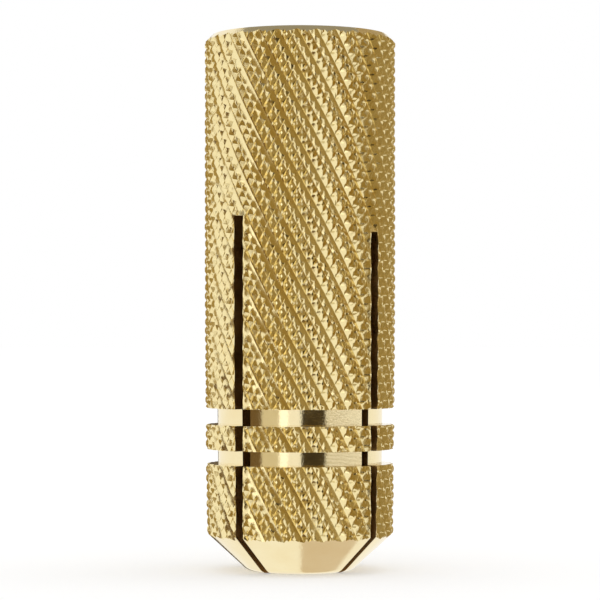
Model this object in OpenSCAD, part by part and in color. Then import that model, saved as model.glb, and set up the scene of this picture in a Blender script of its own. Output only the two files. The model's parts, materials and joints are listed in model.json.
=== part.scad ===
// Knurled brass anchor sleeve for an M8 screw: a turned bushing with a diamond knurl, two
// grooves, a coned tip and two crossed saw slots that split its lower part into four fingers.
// Millimetres, +Z up, origin at the centre of the tip face.

/* [Sleeve] */
// Length from the tip face to the head face
sleeve_len = 28; // [24:0.5:31]
// Diameter over the knurl crests
sleeve_d = 10; // [9.4:0.1:10.8]
// Chamfer round the head
head_chamfer = 0.4; // [0.2:0.05:0.5]

/* [Tip] */
// Diameter of the flat tip face
tip_face_d = 5.1; // [4.8:0.1:6]
// Radius of the rounded edge round the tip face
tip_edge_r = 0.8; // [0.3:0.1:1.2]
// Slope of the tip cone, measured from the tip face
tip_slope = 43; // [35:1:50]

/* [Bands and grooves, from the tip up] */
// Height of the knurled band next to the tip cone
tip_band_h = 3.75; // [2:0.25:5]
// Height of the lower groove
lower_groove_h = 0.75; // [0.4:0.05:1.2]
// Height of the narrow knurled band between the grooves
middle_band_h = 1.3; // [0.8:0.1:3]
// Height of the upper groove
upper_groove_h = 0.85; // [0.4:0.05:1.2]
// Depth of both grooves below the knurl crests
groove_depth = 0.64; // [0.4:0.02:0.8]

/* [Diamond knurl] */
// Distance between neighbouring knurl lines, measured square to them
knurl_pitch = 0.5; // [0.5:0.05:0.8]
// Angle of the knurl lines to the axis
knurl_angle = 30; // [25:1:35]
// Height of the knurl crests above its valleys
knurl_depth = 0.22; // [0.1:0.02:0.3]

/* [Saw slots] */
// Width of both slots at their closed end
slot_w = 0.6; // [0.4:0.05:0.8]
// Depth of the slot in the YZ plane, from the tip face
deep_slot_h = 18.4; // [12:0.2:20]
// Depth of the slot in the XZ plane, from the tip face
shallow_slot_h = 17.6; // [12:0.2:20]
// How far the tip of each finger is pressed in towards the axis
finger_pinch = 0.14; // [0:0.02:0.2]

/* [Bore] */
// Diameter of the bore that carries the M8 thread, at its crests
bore_d = 6.8; // [6.4:0.1:7]
// Countersink at the mouth of the bore
mouth_chamfer = 0.6; // [0.2:0.1:0.8]
// Diameter of the narrow hole through the tip
tip_hole_d = 4; // [3:0.1:4.6]
// Height of the narrow hole
tip_hole_h = 1.2; // [0.5:0.1:2]
// Height of the taper that opens from the narrow hole to the bore
bore_taper_h = 7.8; // [4:0.2:10]

/* [Hidden] */
$fn = 96;

sleeve_r = sleeve_d / 2;
bore_r = bore_d / 2;
tip_face_r = tip_face_d / 2;
tip_hole_r = tip_hole_d / 2;

// How far a cutting shape runs past the surface that it cuts
over = 0.5;
over_r = sleeve_r + over;
// How far hidden faces of the blank stay clear of the turned surface
inset = 0.05;

// Fingers start at the closed end of the shallower slot and bend like a beam held there
finger_z = min(deep_slot_h, shallow_slot_h);
function crest_r(z) = sleeve_r - finger_pinch * pow(max(0, 1 - z / finger_z), 2);
// Neighbouring fingers close a slot from both sides, each pressed in at 45 degrees to it
slot_tip_w = slot_w - 2 * finger_pinch * sin(45);

// Tip cone, tangent to the rounded edge, up to the crests of the knurl
tip_crest_r = sleeve_r - finger_pinch;
tip_arc_steps = 6;
cone_foot_r = tip_face_r + tip_edge_r * sin(tip_slope);
cone_foot_z = tip_edge_r * (1 - cos(tip_slope));
function cone_z(r) = cone_foot_z + (r - cone_foot_r) * tan(tip_slope);

// Stack of bands and grooves
lower_groove_z = cone_z(tip_crest_r) + tip_band_h;
upper_groove_z = lower_groove_z + lower_groove_h + middle_band_h;
groove_floor_r = sleeve_r - groove_depth;

// Plain core of the blank, just under the valleys of the knurl
core_r = tip_crest_r - knurl_depth - inset;

// Diamond lattice: crests and valleys alternate along each row and up each column
knurl_lines = round(PI * sleeve_d * cos(knurl_angle) / knurl_pitch);
columns = 2 * knurl_lines;
row_h = PI * sleeve_d / columns / tan(knurl_angle);
knurl_z = cone_z(core_r) - inset;
rows = ceil((sleeve_len + inset - knurl_z) / row_h);

function is_valley(row, column) = (row + column) % 2 == 1;
function lattice_r(row, column) =
    crest_r(knurl_z + row * row_h) - (is_valley(row, column) ? knurl_depth : 0);
function lattice_point(row, column) =
    let (r = lattice_r(row, column), turn = column * 360 / columns)
    [r * cos(turn), r * sin(turn), knurl_z + row * row_h];
function lattice_index(row, column) = row * columns + column % columns;
// Two triangles of one lattice cell, folded along its valley line
function cell_faces(row, column) =
    let (
        a = lattice_index(row, column),
        b = lattice_index(row, column + 1),
        c = lattice_index(row + 1, column + 1),
        d = lattice_index(row + 1, column)
    )
    is_valley(row, column) ? [[a, c, b], [a, d, c]] : [[a, d, b], [b, d, c]];

module knurled_bar() {
    foot_centre = (rows + 1) * columns;
    head_centre = foot_centre + 1;
    polyhedron(
        points = concat(
            [for (row = [0 : rows], column = [0 : columns - 1]) lattice_point(row, column)],
            [[0, 0, knurl_z], [0, 0, knurl_z + rows * row_h]]
        ),
        faces = concat(
            [for (row = [0 : rows - 1], column = [0 : columns - 1])
                each cell_faces(row, column)],
            [for (column = [0 : columns - 1])
                [foot_centre, column, lattice_index(0, column + 1)]],
            [for (column = [0 : columns - 1])
                [head_centre, lattice_index(rows, column + 1), lattice_index(rows, column)]]
        ),
        convexity = 4
    );
}

module blank() {
    knurled_bar();
    translate([0, 0, -over]) cylinder(r = core_r, h = sleeve_len + 2 * over);
}

// Section of a groove, from its lower wall to its upper wall
function notch(z, h) = [[over_r, z], [groove_floor_r, z], [groove_floor_r, z + h], [over_r, z + h]];

// Envelope that the lathe leaves: tip, grooves and head
module turned_outline() {
    rotate_extrude()
        polygon(concat(
            [[0, 0]],
            [for (step = [0 : tip_arc_steps])
                let (turn = tip_slope * step / tip_arc_steps)
                [tip_face_r + tip_edge_r * sin(turn), tip_edge_r * (1 - cos(turn))]],
            [[over_r, cone_z(over_r)]],
            notch(lower_groove_z, lower_groove_h),
            notch(upper_groove_z, upper_groove_h),
            [[over_r, sleeve_len - head_chamfer - over],
             [sleeve_r - head_chamfer, sleeve_len],
             [0, sleeve_len]]
        ));
}

// Narrow tip hole, taper, thread bore and countersink
module bore() {
    rotate_extrude()
        polygon([
            [0, -over],
            [tip_hole_r, -over],
            [tip_hole_r, tip_hole_h],
            [bore_r, tip_hole_h + bore_taper_h],
            [bore_r, sleeve_len - mouth_chamfer],
            [bore_r + mouth_chamfer + over, sleeve_len + over],
            [0, sleeve_len + over]
        ]);
}

// Saw cut right across the sleeve, in the YZ plane, closing towards the tip
module saw_slot(slot_h) {
    rotate([90, 0, 0])
        linear_extrude(height = 2 * over_r, center = true)
            polygon([
                [-slot_tip_w / 2, -over],
                [slot_tip_w / 2, -over],
                [slot_w / 2, slot_h],
                [-slot_w / 2, slot_h]
            ]);
}

module anchor_sleeve() {
    color("#c9a457")
        difference() {
            intersection() {
                blank();
                turned_outline();
            }
            bore();
            saw_slot(deep_slot_h);
            rotate([0, 0, 90]) saw_slot(shallow_slot_h);
        }
}

anchor_sleeve();
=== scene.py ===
"""Looks of the knurled brass anchor sleeve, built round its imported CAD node.

Sizes are in millimetres until a mesh is made; Blender's own objects are in metres.
"""

import json
import math

import bpy
import numpy as np
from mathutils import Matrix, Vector


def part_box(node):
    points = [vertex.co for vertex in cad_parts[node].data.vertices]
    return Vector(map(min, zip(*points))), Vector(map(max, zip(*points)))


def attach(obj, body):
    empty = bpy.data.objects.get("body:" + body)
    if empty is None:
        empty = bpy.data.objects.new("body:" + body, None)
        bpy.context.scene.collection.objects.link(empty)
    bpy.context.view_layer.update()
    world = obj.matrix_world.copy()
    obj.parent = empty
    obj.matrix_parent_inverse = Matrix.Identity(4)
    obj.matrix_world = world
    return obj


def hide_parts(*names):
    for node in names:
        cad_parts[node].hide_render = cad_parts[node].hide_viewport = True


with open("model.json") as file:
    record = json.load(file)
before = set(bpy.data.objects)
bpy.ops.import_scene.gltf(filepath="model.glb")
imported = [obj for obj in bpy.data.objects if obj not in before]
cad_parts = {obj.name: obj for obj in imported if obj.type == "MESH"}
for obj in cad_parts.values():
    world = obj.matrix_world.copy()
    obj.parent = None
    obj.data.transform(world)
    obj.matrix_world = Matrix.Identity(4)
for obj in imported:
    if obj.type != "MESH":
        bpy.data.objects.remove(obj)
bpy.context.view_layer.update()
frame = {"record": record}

NODE = "anchor_sleeve"
BODY = "root"
MM = 0.001

# ---------------------------------------------------------------- sizes from the frame
node_low, node_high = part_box(NODE)
SLEEVE_LEN = (node_high.z - node_low.z) / MM
SLEEVE_R = (node_high.x - node_low.x) / 2 / MM
thread_mount = next(m for m in frame["record"]["mounts"] if m["name"] == "thread")
BORE_R = thread_mount["dims"]["r_mm"]

# ---------------------------------------------------------------- sizes of the turned shape
TIP_FACE_R = 2.55
TIP_EDGE_R = 0.8
TIP_SLOPE = math.radians(43)
TIP_BAND_H = 3.75
LOWER_GROOVE_H = 0.75
MIDDLE_BAND_H = 1.3
UPPER_GROOVE_H = 0.85
GROOVE_DEPTH = 0.64
HEAD_CHAMFER = 0.4
MOUTH_CHAMFER = 0.6
TIP_HOLE_R = 2.0
TIP_HOLE_H = 1.2
BORE_TAPER_H = 7.8
EDGE_BREAK = 0.1

ROUND_STEPS = 360
TIP_EDGE_STEPS = 8
# How far a shape that is cut away, or cut down later, runs past the sleeve
OVER = 0.2
# Edges that bend more than this are shaded sharp
SHARP_ANGLE = math.radians(25)

# ---------------------------------------------------------------- saw slots and fingers
SLOT_W = 0.6
DEEP_SLOT_H = 18.4
SHALLOW_SLOT_H = 17.6
FINGER_PINCH = 0.14
FINGER_Z = min(DEEP_SLOT_H, SHALLOW_SLOT_H)

# ---------------------------------------------------------------- knurl
KNURL_LINES = 60
KNURL_ANGLE = math.radians(30)
KNURL_TURN = math.radians(1.2)
# Depth across the grooves that fall to the right, over two lines: (place in lines, depth)
FALLING = (
    (0, 0.215), (0.3, 0.095), (0.54, 0), (0.74, 0),
    (1.05, 0.125), (1.28, 0.08), (1.38, 0.08), (1.66, 0.175),
)
# Depth across the grooves that rise to the right, over one line: (place in lines, depth)
RISING = ((0, 0.16), (0.25, 0.06), (0.4, 0), (0.6, 0))
# Unevenness: depth of the fine grain, and of the random tilt of each diamond
GRAIN = 0.006
DIAMOND_TILT = 0.015
UNEVEN_SEED = 8
# Burr that the saw leaves: how far it reaches from a slot, and the share of the depth it fills
BURR_W = 0.14
BURR_FILL = 0.7
# Height of the low cones that close the bar's ends
BAR_END_H = 0.5

# ---------------------------------------------------------------- M8 thread
THREAD_PITCH = 1.25
THREAD_MAJOR_R = 4.02
# Section of one pitch: (share of the pitch, how much of the thread depth is cut)
THREAD_PROFILE = ((0, 1), (1 / 8, 1), (7 / 16, 0), (11 / 16, 0))
# Plain bore under the thread, and the height over which the thread then deepens
THREAD_START = 0.3
THREAD_RUNOUT = 1.25
# How far the tap's core stays clear of the bore's wall
THREAD_CLEAR = 0.1
THREAD_STEPS = 120

# ---------------------------------------------------------------- brass, in linear colours
# Noise cells in a millimetre, for the blotches and for the grain
BLOTCH_SCALE = 0.9
GRAIN_SCALE = 9
# The stretch of the blotches' noise over which the roughness changes
BLOTCH_RANGE = (0.3, 0.7)
GRAIN_BUMP = 0.003
# Bands of a wave texture at scale 1 repeat after this distance
WAVE_PERIOD = math.pi / 10


def link(tree, source, target):
    tree.links.new(source, target)


def noise(tree, place, per_mm, detail):
    node = tree.nodes.new("ShaderNodeTexNoise")
    node.inputs["Scale"].default_value = per_mm / MM
    node.inputs["Detail"].default_value = detail
    link(tree, place, node.inputs["Vector"])
    return node.outputs["Fac"]


def tool_rings(tree, place, pitch):
    """Slightly wavy rings round Z, like the marks of a turning tool."""
    node = tree.nodes.new("ShaderNodeTexWave")
    node.bands_direction = "Z"
    node.inputs["Scale"].default_value = WAVE_PERIOD / (pitch * MM)
    node.inputs["Distortion"].default_value = 1.5
    node.inputs["Detail Scale"].default_value = 0.5
    link(tree, place, node.inputs["Vector"])
    return node.outputs["Fac"]


def bump(tree, height, depth):
    node = tree.nodes.new("ShaderNodeBump")
    node.inputs["Distance"].default_value = depth * MM
    link(tree, height, node.inputs["Height"])
    return node


def brass_material(name, deep, pale, rough, ring_depth, ring_pitch):
    """Brass whose colour goes from deep to pale in blotches, and its roughness with it."""
    material = bpy.data.materials.new(name)
    material.use_nodes = True
    tree = material.node_tree
    shader = tree.nodes["Principled BSDF"]
    shader.inputs["Metallic"].default_value = 1
    place = tree.nodes.new("ShaderNodeTexCoord").outputs["Object"]
    blotches = noise(tree, place, BLOTCH_SCALE, detail=4)

    tint = tree.nodes.new("ShaderNodeMix")
    tint.data_type = "RGBA"
    tint.inputs["A"].default_value = (*deep, 1)
    tint.inputs["B"].default_value = (*pale, 1)
    link(tree, blotches, tint.inputs["Factor"])
    link(tree, tint.outputs["Result"], shader.inputs["Base Color"])

    polish = tree.nodes.new("ShaderNodeMapRange")
    polish.inputs["From Min"].default_value = BLOTCH_RANGE[0]
    polish.inputs["From Max"].default_value = BLOTCH_RANGE[1]
    polish.inputs["To Min"].default_value = rough[0]
    polish.inputs["To Max"].default_value = rough[1]
    link(tree, blotches, polish.inputs["Value"])
    link(tree, polish.outputs["Result"], shader.inputs["Roughness"])

    rings = bump(tree, tool_rings(tree, place, ring_pitch), ring_depth)
    grain = bump(tree, noise(tree, place, GRAIN_SCALE, detail=3), GRAIN_BUMP)
    link(tree, rings.outputs["Normal"], grain.inputs["Normal"])
    link(tree, grain.outputs["Normal"], shader.inputs["Normal"])
    return material


KNURLED = brass_material(
    "brass_knurled",
    deep=(0.88, 0.70, 0.33),
    pale=(0.97, 0.86, 0.50),
    rough=(0.12, 0.24),
    ring_depth=0.0002,
    ring_pitch=0.1,
)
TURNED = brass_material(
    "brass_turned",
    deep=(0.88, 0.72, 0.40),
    pale=(0.95, 0.84, 0.54),
    rough=(0.06, 0.14),
    ring_depth=0.0012,
    ring_pitch=0.07,
)
SAWN = brass_material(
    "brass_sawn",
    deep=(0.32, 0.17, 0.05),
    pale=(0.55, 0.36, 0.14),
    rough=(0.4, 0.6),
    ring_depth=0.004,
    ring_pitch=0.09,
)


# ---------------------------------------------------------------- meshes and booleans
def make_mesh(name, points, faces, material):
    """A mesh object from points in millimetres."""
    mesh = bpy.data.meshes.new(name)
    mesh.from_pydata((np.asarray(points, float) * MM).tolist(), [], faces)
    mesh.validate()
    mesh.materials.append(material)
    obj = bpy.data.objects.new(name, mesh)
    bpy.context.scene.collection.objects.link(obj)
    return obj


def boolean(obj, tool, operation):
    """Applies one boolean to obj and removes the tool."""
    modifier = obj.modifiers.new("cut", "BOOLEAN")
    modifier.operation = operation
    modifier.solver = "MANIFOLD"
    modifier.material_mode = "TRANSFER"
    modifier.object = tool
    shown = bpy.context.evaluated_depsgraph_get()
    result = bpy.data.meshes.new_from_object(obj.evaluated_get(shown))
    obj.modifiers.clear()
    old = obj.data
    obj.data = result
    bpy.data.meshes.remove(old)
    bpy.data.objects.remove(tool)


def ring_point(radius, turn, z):
    return (radius * math.cos(turn), radius * math.sin(turn), z)


# ---------------------------------------------------------------- knurled bar
def slot_burr(turn, z):
    """How much burr from the saw fills the knurl: 1 at a slot's edges, 0 away from them."""
    nearest = np.full(turn.shape, np.inf)
    for across, height in ((np.cos(turn), DEEP_SLOT_H), (np.sin(turn), SHALLOW_SLOT_H)):
        beside = np.abs(SLEEVE_R * across) - SLOT_W / 2
        above = z - height
        nearest = np.minimum(nearest, np.hypot(np.maximum(beside, 0), np.maximum(above, 0)))
    return np.exp(-((nearest / BURR_W) ** 2))


def uneven(depth, u, v, rows):
    """The depth with a random tilt and lift of each diamond and a fine grain added."""
    random = np.random.default_rng(UNEVEN_SEED)
    cell_u = np.floor(u).astype(int)
    cell_v = np.floor(v).astype(int)
    cell_row = (cell_u - cell_v) % (rows + 2)
    draws = random.uniform(-1, 1, (3, KNURL_LINES, rows + 2))
    along_u, along_v, lift = draws[:, cell_u % KNURL_LINES, cell_row]
    tilt = along_u * (u - cell_u - 0.5) + along_v * (v - cell_v - 0.5) + lift * 0.5
    return depth + DIAMOND_TILT * np.abs(tilt) + GRAIN * random.uniform(0, 1, depth.shape)


def knurl_lattice():
    """Radius, turn and height of the vertices, in rows up the bar.

    u counts lines that fall to the right and v lines that rise to the right. A vertex
    lies wherever profile points of both families cross, and takes the deeper of the two.
    """
    steps = len(RISING)
    around = KNURL_LINES * steps
    pitch_round = 2 * math.pi / KNURL_LINES
    pitch_up = SLEEVE_R * pitch_round / math.tan(KNURL_ANGLE)
    rows = math.ceil((SLEEVE_LEN + 2 * OVER) / pitch_up * 2 * steps)
    row, column = np.meshgrid(np.arange(rows + 1), np.arange(around), indexing="ij")
    i = column + (row + 1) // 2
    j = column - row // 2
    fall = np.array(FALLING)
    rise = np.array(RISING)
    u = i // len(fall) * 2 + fall[i % len(fall), 0]
    v = j // len(rise) + rise[j % len(rise), 0]
    turn = (u + v) / 2 * pitch_round + KNURL_TURN
    z = (u - v) / 2 * pitch_up - OVER

    depth = np.maximum(fall[i % len(fall), 1], rise[j % len(rise), 1])
    depth = uneven(depth, u, v, rows)
    depth = depth * (1 - BURR_FILL * slot_burr(turn, z))
    return SLEEVE_R - depth, turn, z


def lattice_faces(radius):
    """Triangles between the vertices, and from the end rows to a foot and a head point.

    Each quad spans two rows, with its left and right corners in the row between the
    corners below and above. It is split along the pair of corners that stands out more.
    """
    rows = radius.shape[0] - 1
    around = radius.shape[1]
    foot = radius.size
    head = foot + 1
    out = radius.ravel().tolist()

    def at(r, c):
        return r * around + c % around

    faces = []
    for r in range(1, rows):
        shift = r % 2
        for c in range(around):
            left = at(r, c)
            right = at(r, c + 1)
            below = at(r - 1, c + shift)
            above = at(r + 1, c + shift)
            if out[left] + out[right] >= out[below] + out[above]:
                faces += [(left, below, right), (left, right, above)]
            else:
                faces += [(left, below, above), (below, right, above)]
    for c in range(around):
        faces.append((at(0, c), at(0, c + 1), at(1, c)))
        faces.append((at(rows, c + 1), at(rows, c), at(rows - 1, c + rows % 2)))
        faces.append((foot, at(0, c + 1), at(0, c)))
        faces.append((head, at(rows, c), at(rows, c + 1)))
    return faces


def knurled_bar():
    """A bar with diamonds between two families of helical grooves."""
    radius, turn, z = knurl_lattice()
    points = np.stack([radius * np.cos(turn), radius * np.sin(turn), z], -1).reshape(-1, 3).tolist()
    foot = (0, 0, -2 * OVER - BAR_END_H)
    head = (0, 0, SLEEVE_LEN + 3 * OVER + BAR_END_H)
    return make_mesh("knurled_bar", [*points, foot, head], lattice_faces(radius), KNURLED)


# ---------------------------------------------------------------- turned envelope
def cone_z(radius):
    foot_r = TIP_FACE_R + TIP_EDGE_R * math.sin(TIP_SLOPE)
    foot_z = TIP_EDGE_R * (1 - math.cos(TIP_SLOPE))
    return foot_z + (radius - foot_r) * math.tan(TIP_SLOPE)


def tip_edge():
    """Section of the rounded edge between the tip's face and its cone."""
    points = []
    for step in range(TIP_EDGE_STEPS + 1):
        a = TIP_SLOPE * step / TIP_EDGE_STEPS
        points.append((TIP_FACE_R + TIP_EDGE_R * math.sin(a), TIP_EDGE_R * (1 - math.cos(a))))
    return points


def groove_section(z, height, outer_r):
    """Section of one groove with its edges broken, from its lower wall up."""
    floor_r = SLEEVE_R - GROOVE_DEPTH
    edge_r = SLEEVE_R - EDGE_BREAK
    return [
        (outer_r, z - EDGE_BREAK - (outer_r - SLEEVE_R)),
        (edge_r, z),
        (floor_r, z),
        (floor_r, z + height),
        (edge_r, z + height),
        (outer_r, z + height + EDGE_BREAK + (outer_r - SLEEVE_R)),
    ]


def turned_section():
    """Closed section of the sleeve without its knurl: outside from the tip up, then the bore."""
    outer_r = SLEEVE_R + OVER
    lower_groove_z = cone_z(SLEEVE_R - FINGER_PINCH) + TIP_BAND_H
    upper_groove_z = lower_groove_z + LOWER_GROOVE_H + MIDDLE_BAND_H
    return [
        *tip_edge(),
        (outer_r, cone_z(outer_r)),
        *groove_section(lower_groove_z, LOWER_GROOVE_H, outer_r),
        *groove_section(upper_groove_z, UPPER_GROOVE_H, outer_r),
        (outer_r, SLEEVE_LEN - HEAD_CHAMFER - OVER),
        (SLEEVE_R - HEAD_CHAMFER, SLEEVE_LEN),
        (BORE_R + MOUTH_CHAMFER, SLEEVE_LEN),
        (BORE_R, SLEEVE_LEN - MOUTH_CHAMFER),
        (BORE_R, TIP_HOLE_H + BORE_TAPER_H),
        (TIP_HOLE_R, TIP_HOLE_H),
        (TIP_HOLE_R, 0),
    ]


def turned_envelope():
    section = turned_section()
    count = len(section)
    points = []
    for step in range(ROUND_STEPS):
        turn = 2 * math.pi * step / ROUND_STEPS
        points += [ring_point(r, turn, z) for r, z in section]
    faces = []
    for step in range(ROUND_STEPS):
        here = step * count
        there = (step + 1) % ROUND_STEPS * count
        for k in range(count):
            n = (k + 1) % count
            faces.append((here + k, there + k, there + n, here + n))
    return make_mesh("turned_envelope", points, faces, TURNED)


# ---------------------------------------------------------------- thread
def thread_core():
    """What the tap removes: a screw whose flanks and flats follow the helix."""
    steps = len(THREAD_PROFILE)
    z_low = TIP_HOLE_H + BORE_TAPER_H
    turns = math.ceil((SLEEVE_LEN + 2 * OVER - z_low) / THREAD_PITCH)
    rows = turns * steps
    inner_r = BORE_R - THREAD_CLEAR
    points = []
    for c in range(THREAD_STEPS):
        for r in range(rows + 1):
            share, cut = THREAD_PROFILE[r % steps]
            z = z_low + THREAD_PITCH * (r // steps + share + c / THREAD_STEPS)
            fade = min(1, max(0, (z - z_low - THREAD_START) / THREAD_RUNOUT))
            radius = inner_r + (THREAD_MAJOR_R - inner_r) * cut * fade
            points.append(ring_point(radius, 2 * math.pi * c / THREAD_STEPS, z))
    foot = len(points)
    head = foot + 1
    points += [(0, 0, z_low), (0, 0, z_low + THREAD_PITCH * (turns + 0.5))]

    # After a whole turn the helix is one pitch up, so the last column joins the first there
    def at(r, c):
        if c == THREAD_STEPS:
            return r + steps
        return c * (rows + 1) + r

    seam = THREAD_STEPS - 1
    faces = []
    for c in range(THREAD_STEPS):
        last = rows - steps if c == seam else rows
        for r in range(last):
            faces.append((at(r, c), at(r, c + 1), at(r + 1, c + 1), at(r + 1, c)))
        if c < seam:
            faces.append((head, at(rows, c), at(rows, c + 1)))
        faces.append((foot, at(0, c + 1), at(0, c)))
    faces.append((head, at(rows - steps, seam), at(rows - steps, THREAD_STEPS)))
    for r in range(steps):
        faces.append((foot, r, r + 1))
    for r in range(rows - steps, rows):
        faces.append((head, at(r + 1, seam), at(r, seam)))
    return make_mesh("thread_core", points, faces, TURNED)


# ---------------------------------------------------------------- slots and fingers
def saw_slot(height, turn):
    """A straight saw cut across the whole sleeve, in the plane at that turn about Z."""
    half = SLOT_W / 2
    reach = SLEEVE_R + 2 * OVER
    along = Vector((math.cos(turn), math.sin(turn), 0))
    across = Vector((-math.sin(turn), math.cos(turn), 0))
    points = []
    for z in (-2 * OVER, height):
        for a, b in ((-1, -1), (1, -1), (1, 1), (-1, 1)):
            p = along * (a * reach) + across * (b * half)
            points.append((p.x, p.y, z))
    faces = [(3, 2, 1, 0), (4, 5, 6, 7), (0, 1, 5, 4), (1, 2, 6, 5), (2, 3, 7, 6), (3, 0, 4, 7)]
    return make_mesh("saw_slot", points, faces, SAWN)


def pinch_fingers(mesh):
    """Presses each finger in along its own middle, more and more towards the tip."""
    co = np.empty(len(mesh.vertices) * 3)
    mesh.vertices.foreach_get("co", co)
    co = co.reshape(-1, 3)
    bend = np.clip(1 - co[:, 2] / MM / FINGER_Z, 0, None) ** 2 * FINGER_PINCH * MM
    co[:, 0] -= np.sign(co[:, 0]) * bend * math.sin(math.pi / 4)
    co[:, 1] -= np.sign(co[:, 1]) * bend * math.sin(math.pi / 4)
    mesh.vertices.foreach_set("co", co.ravel())
    mesh.update()


def sharpen_borders(mesh):
    """Keeps the shading of one material's faces from running into another's."""
    materials = {}
    for face in mesh.polygons:
        for key in face.edge_keys:
            materials.setdefault(key, set()).add(face.material_index)
    for edge in mesh.edges:
        if len(materials[edge.key]) > 1:
            edge.use_edge_sharp = True


def build_sleeve():
    sleeve = knurled_bar()
    boolean(sleeve, turned_envelope(), "INTERSECT")
    boolean(sleeve, thread_core(), "DIFFERENCE")
    boolean(sleeve, saw_slot(DEEP_SLOT_H, math.pi / 2), "DIFFERENCE")
    boolean(sleeve, saw_slot(SHALLOW_SLOT_H, 0), "DIFFERENCE")
    pinch_fingers(sleeve.data)
    sleeve.name = sleeve.data.name = "sleeve"
    sleeve.data.shade_smooth()
    sleeve.data.set_sharp_from_angle(angle=SHARP_ANGLE)
    sharpen_borders(sleeve.data)
    return sleeve


# ---------------------------------------------------------------- sizes of the studio
PHOTO_PX = 600
FOCAL_PX = 2516
HORIZON_PX = 345
SENSOR_W = 36
CAMERA_DISTANCE = 132
CAMERA_Z = 11.8
CAMERA_TURN = math.radians(39.4)

WORLD_LEVEL = 0.9
FLOOR_SIDE = 9000
FLOOR_COLOUR = (0.8, 0.8, 0.8)
# The floor's own glow lifts it to this level, where it meets the white background
FLOOR_LEVEL = 1.01
FLOOR_GLOW = FLOOR_LEVEL - WORLD_LEVEL * FLOOR_COLOUR[0]

FLAG_DISTANCE = 250
FLAG_COLUMNS = 24
FLAG_ROWS = 6
# Cards that the metal reflects: (name, turns, rises, linear colour). Turns count from the
# camera to its right and rises up from level, both in degrees.
FLAGS = (
    ("flag_left", (-83, -54), (-14, 14), (0.19, 0.12, 0.05)),
    ("flag_front", (2, 35), (-14, 3), (0.06, 0.045, 0.025)),
    ("flag_front_top", (2, 35), (3, 14), (0.34, 0.23, 0.07)),
    ("flag_high_front", (-22, 35), (14, 52), (0.38, 0.26, 0.08)),
    ("flag_high_right", (35, 100), (1, 52), (0.42, 0.31, 0.13)),
    ("flag_high_far", (100, 165), (1, 52), (0.55, 0.43, 0.25)),
    ("flag_low_front", (-12, 35), (-30, -14), (0.42, 0.30, 0.10)),
    ("flag_low_middle", (16, 35), (-52, -30), (0.36, 0.25, 0.08)),
    ("flag_low_right", (35, 100), (-52, -8), (0.42, 0.31, 0.13)),
    ("flag_low_far", (100, 134), (-52, -8), (0.55, 0.43, 0.25)),
    ("flag_low_left", (-138, -62), (-52, -14), (0.46, 0.33, 0.12)),
    ("flag_high_left", (-138, -76), (14, 52), (0.46, 0.33, 0.12)),
    ("flag_level_soft", (-54, -28), (-14, 14), (0.84, 0.76, 0.58)),
    ("flag_cone", (95, 176), (-86, -52), (0.98, 0.85, 0.72)),
    ("flag_behind", (-180, -164), (-20, 14), (0.16, 0.12, 0.07)),
    ("flag_top", (-180, 180), (52, 90), (0.42, 0.40, 0.36)),
)

LAMP_DISTANCE = 600
# Lamps: (name, turn, rise, size, power in watts)
LAMPS = (
    ("key", 105, 28, (600, 300), 0.35),
    ("fill", -28, 5, (250, 300), 0.1),
)


# ---------------------------------------------------------------- studio
def studio_point(turn, rise, distance):
    """A point round the sleeve's middle, from a turn and a rise in radians."""
    a = CAMERA_TURN - math.pi / 2 + turn
    flat = distance * math.cos(rise)
    return (flat * math.cos(a), flat * math.sin(a), SLEEVE_LEN / 2 + distance * math.sin(rise))


def make_camera():
    data = bpy.data.cameras.new("camera")
    data.sensor_width = SENSOR_W
    data.lens = data.sensor_width * FOCAL_PX / PHOTO_PX
    data.shift_y = (HORIZON_PX - PHOTO_PX / 2) / PHOTO_PX
    data.clip_start = 0.01
    data.clip_end = 10
    camera = bpy.data.objects.new("camera", data)
    camera.location = Vector((
        math.sin(CAMERA_TURN) * CAMERA_DISTANCE,
        -math.cos(CAMERA_TURN) * CAMERA_DISTANCE,
        CAMERA_Z,
    )) * MM
    camera.rotation_euler = (math.pi / 2, 0, CAMERA_TURN)
    bpy.context.scene.collection.objects.link(camera)
    bpy.context.scene.camera = camera


def background_ray(tree):
    """1 for a camera, glossy or transmission ray, which shows the background, else 0."""
    path = tree.nodes.new("ShaderNodeLightPath").outputs
    shown = path["Is Camera Ray"]
    for name in ("Is Glossy Ray", "Is Transmission Ray"):
        either = tree.nodes.new("ShaderNodeMath")
        either.operation = "MAXIMUM"
        link(tree, shown, either.inputs[0])
        link(tree, path[name], either.inputs[1])
        shown = either.outputs[0]
    return shown


def make_world():
    """A white background over a slightly darker light."""
    world = bpy.data.worlds.new("studio")
    bpy.context.scene.world = world
    world.use_nodes = True
    tree = world.node_tree
    light = tree.nodes["Background"]
    light.inputs["Color"].default_value = (1, 1, 1, 1)
    light.inputs["Strength"].default_value = WORLD_LEVEL
    white = tree.nodes.new("ShaderNodeBackground")
    white.inputs["Color"].default_value = (1, 1, 1, 1)
    mix = tree.nodes.new("ShaderNodeMixShader")
    link(tree, background_ray(tree), mix.inputs[0])
    link(tree, light.outputs[0], mix.inputs[1])
    link(tree, white.outputs[0], mix.inputs[2])
    link(tree, mix.outputs[0], tree.nodes["World Output"].inputs["Surface"])


def plain_material(name, colour):
    material = bpy.data.materials.new(name)
    material.use_nodes = True
    shader = material.node_tree.nodes["Principled BSDF"]
    shader.inputs["Base Color"].default_value = (*colour, 1)
    shader.inputs["Roughness"].default_value = 1
    shader.inputs["Specular IOR Level"].default_value = 0
    return material


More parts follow.
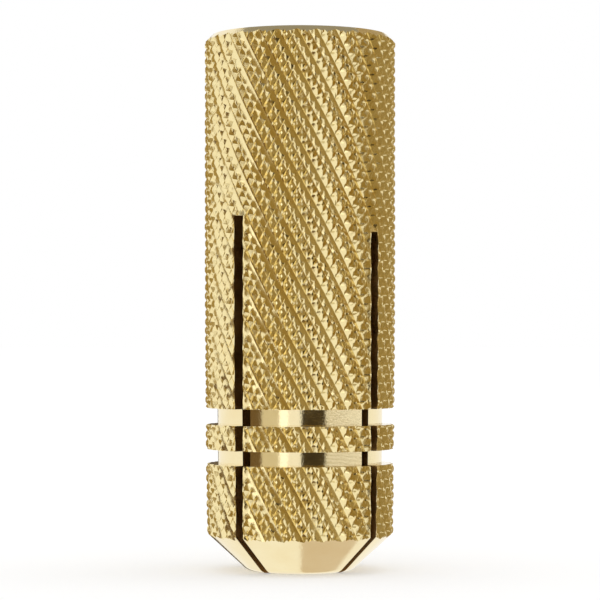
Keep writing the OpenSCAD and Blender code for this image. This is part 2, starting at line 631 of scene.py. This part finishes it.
def floor_material():
    """A pale floor that glows for the camera until it meets the background."""
    material = plain_material("floor", FLOOR_COLOUR)
    tree = material.node_tree
    shader = tree.nodes["Principled BSDF"]
    glow = tree.nodes.new("ShaderNodeMath")
    glow.operation = "MULTIPLY"
    glow.inputs[1].default_value = FLOOR_GLOW
    link(tree, background_ray(tree), glow.inputs[0])
    shader.inputs["Emission Color"].default_value = (1, 1, 1, 1)
    link(tree, glow.outputs[0], shader.inputs["Emission Strength"])
    return material


def make_floor():
    side = FLOOR_SIDE
    points = [(-side, -side, 0), (side, -side, 0), (side, side, 0), (-side, side, 0)]
    floor = make_mesh("floor", points, [(0, 1, 2, 3)], floor_material())
    floor.visible_glossy = False


def make_flag(name, turns, rises, colour):
    """A curved card that shows only in the metal's reflections."""
    points = []
    for c in range(FLAG_COLUMNS + 1):
        turn = math.radians(turns[0] + (turns[1] - turns[0]) * c / FLAG_COLUMNS)
        for r in range(FLAG_ROWS + 1):
            rise = math.radians(rises[0] + (rises[1] - rises[0]) * r / FLAG_ROWS)
            points.append(studio_point(turn, rise, FLAG_DISTANCE))
    faces = []
    for c in range(FLAG_COLUMNS):
        for r in range(FLAG_ROWS):
            k = c * (FLAG_ROWS + 1) + r
            faces.append((k, k + 1, k + FLAG_ROWS + 2, k + FLAG_ROWS + 1))
    flag = make_mesh(name, points, faces, plain_material(name, colour))
    flag.visible_camera = False
    flag.visible_shadow = False
    flag.visible_diffuse = False


def make_lamp(name, turn, rise, size, power):
    data = bpy.data.lights.new(name, "AREA")
    data.shape = "RECTANGLE"
    data.size = size[0] * MM
    data.size_y = size[1] * MM
    data.energy = power
    lamp = bpy.data.objects.new(name, data)
    place = studio_point(math.radians(turn), math.radians(rise), LAMP_DISTANCE)
    lamp.location = Vector(place) * MM
    aim = Vector((0, 0, SLEEVE_LEN / 2 * MM)) - lamp.location
    lamp.rotation_euler = aim.to_track_quat("-Z", "Y").to_euler()
    bpy.context.scene.collection.objects.link(lamp)


# ---------------------------------------------------------------- the scene
sleeve = build_sleeve()
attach(sleeve, BODY)
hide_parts(NODE)

make_camera()
make_world()
make_floor()
for name, turns, rises, colour in FLAGS:
    make_flag(name, turns, rises, colour)
for name, turn, rise, size, power in LAMPS:
    make_lamp(name, turn, rise, size, power)
bpy.context.scene.view_settings.view_transform = "Standard"

bpy.context.view_layer.update()
